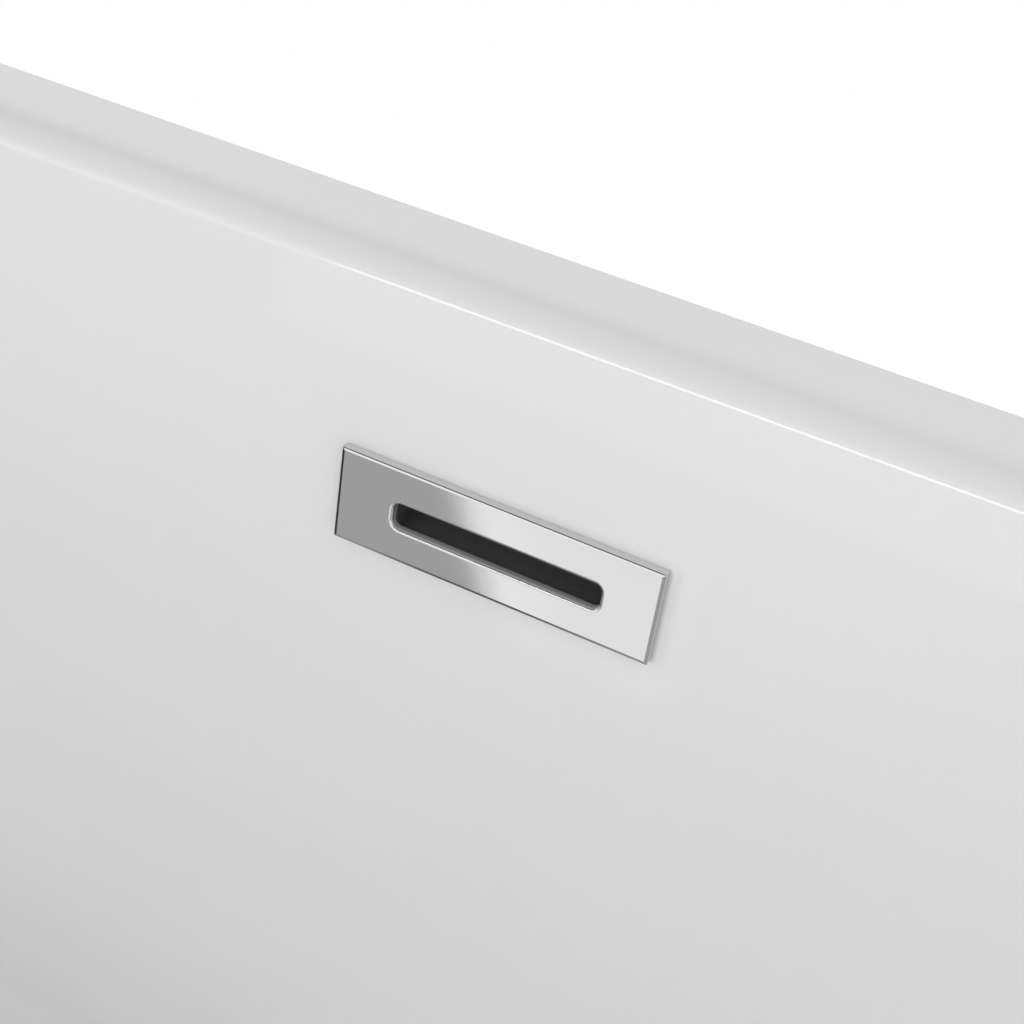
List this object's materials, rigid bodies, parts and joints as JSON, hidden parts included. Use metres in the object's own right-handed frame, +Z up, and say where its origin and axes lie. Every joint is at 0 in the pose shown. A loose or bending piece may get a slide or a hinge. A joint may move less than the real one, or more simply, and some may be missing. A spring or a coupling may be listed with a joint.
{
  "type": "corner bathtub",
  "caption": "Acrylic corner bath with a slim rim, sloping walls, one large free rounded corner and apron, chrome slotted overflow, press-to-open waste and adjustable feet.",
  "frame": {"origin": "on the floor under the middle of the tub's outline", "axes": "+X along the tub to the free end, +Y across it to the back wall, +Z up"},
  "size_m": [1.7, 0.8, 0.61],
  "materials": {
    "acrylic_white": "glossy moulded acrylic",
    "glass_fibre": "rough sprayed glass fibre",
    "board": "raw chipboard",
    "timber": "planed softwood",
    "zinc_steel": "zinc-plated sheet",
    "screw_steel": "zinc-plated, bright",
    "chrome": "polished",
    "dark_plastic": "moulded, fine grain",
    "pipe_plastic": "moulded, satin",
    "hose_plastic": "corrugated, satin",
    "rubber": "matt",
    "brass": "turned"
  },
  "bodies": {
    "tub": {"tub_shell": "acrylic_white", "apron_panel": "acrylic_white", "glassfibre_backing": "glass_fibre", "base_board": "board", "rim_batten_front": "timber", "rim_batten_right": "timber", "rim_batten_back": "timber", "rim_batten_left": "timber", "apron_brackets": "zinc_steel", "apron_side_stays": "zinc_steel", "apron_clips": "zinc_steel", "leg_bar_left": "zinc_steel", "leg_bar_middle": "zinc_steel", "leg_bar_right": "zinc_steel", "wall_hooks_back": "zinc_steel", "wall_hook_left": "zinc_steel", "apron_screws": "screw_steel", "apron_clip_screws": "screw_steel", "leg_bar_screws": "screw_steel", "foot_nuts": "screw_steel", "overflow_screws": "screw_steel", "hose_clamps": "screw_steel", "plug_spring": "screw_steel", "overflow_plate": "chrome", "waste_flange": "chrome", "overflow_insert": "dark_plastic", "overflow_housing": "pipe_plastic", "waste_body": "pipe_plastic", "trap_inlet_nut": "pipe_plastic", "trap_bend": "pipe_plastic", "trap_outlet_nut": "pipe_plastic", "outlet_pipe": "pipe_plastic", "overflow_hose": "hose_plastic", "overflow_gasket": "rubber", "flange_seal": "rubber", "body_seal": "rubber", "plug_cartridge": "brass"},
    "plug": {"plug_cap": "chrome", "plug_seal": "rubber", "plug_stem": "brass"},
    "foot_front_left": {"foot_stud_front_left": "screw_steel", "foot_pad_front_left": "dark_plastic"},
    "foot_front_middle": {"foot_stud_front_middle": "screw_steel", "foot_pad_front_middle": "dark_plastic"},
    "foot_front_right": {"foot_stud_front_right": "screw_steel", "foot_pad_front_right": "dark_plastic"},
    "foot_back_left": {"foot_stud_back_left": "screw_steel", "foot_pad_back_left": "dark_plastic"},
    "foot_back_middle": {"foot_stud_back_middle": "screw_steel", "foot_pad_back_middle": "dark_plastic"},
    "foot_back_right": {"foot_stud_back_right": "screw_steel", "foot_pad_back_right": "dark_plastic"}
  },
  "joints": [
    {"name": "plug_slide", "type": "slide", "parent": "tub", "child": "plug", "axis": [0, 0, 1], "range_m": [0, 0.009], "deforming": ["plug_spring"]},
    {"name": "foot_front_left_height", "type": "slide", "parent": "tub", "child": "foot_front_left", "axis": [0, 0, -1], "range_m": [-0.008, 0.03]},
    {"name": "foot_front_middle_height", "type": "slide", "parent": "tub", "child": "foot_front_middle", "axis": [0, 0, -1], "range_m": [-0.008, 0.03]},
    {"name": "foot_front_right_height", "type": "slide", "parent": "tub", "child": "foot_front_right", "axis": [0, 0, -1], "range_m": [-0.008, 0.03]},
    {"name": "foot_back_left_height", "type": "slide", "parent": "tub", "child": "foot_back_left", "axis": [0, 0, -1], "range_m": [-0.008, 0.03]},
    {"name": "foot_back_middle_height", "type": "slide", "parent": "tub", "child": "foot_back_middle", "axis": [0, 0, -1], "range_m": [-0.008, 0.03]},
    {"name": "foot_back_right_height", "type": "slide", "parent": "tub", "child": "foot_back_right", "axis": [0, 0, -1], "range_m": [-0.008, 0.03]}
  ]
}
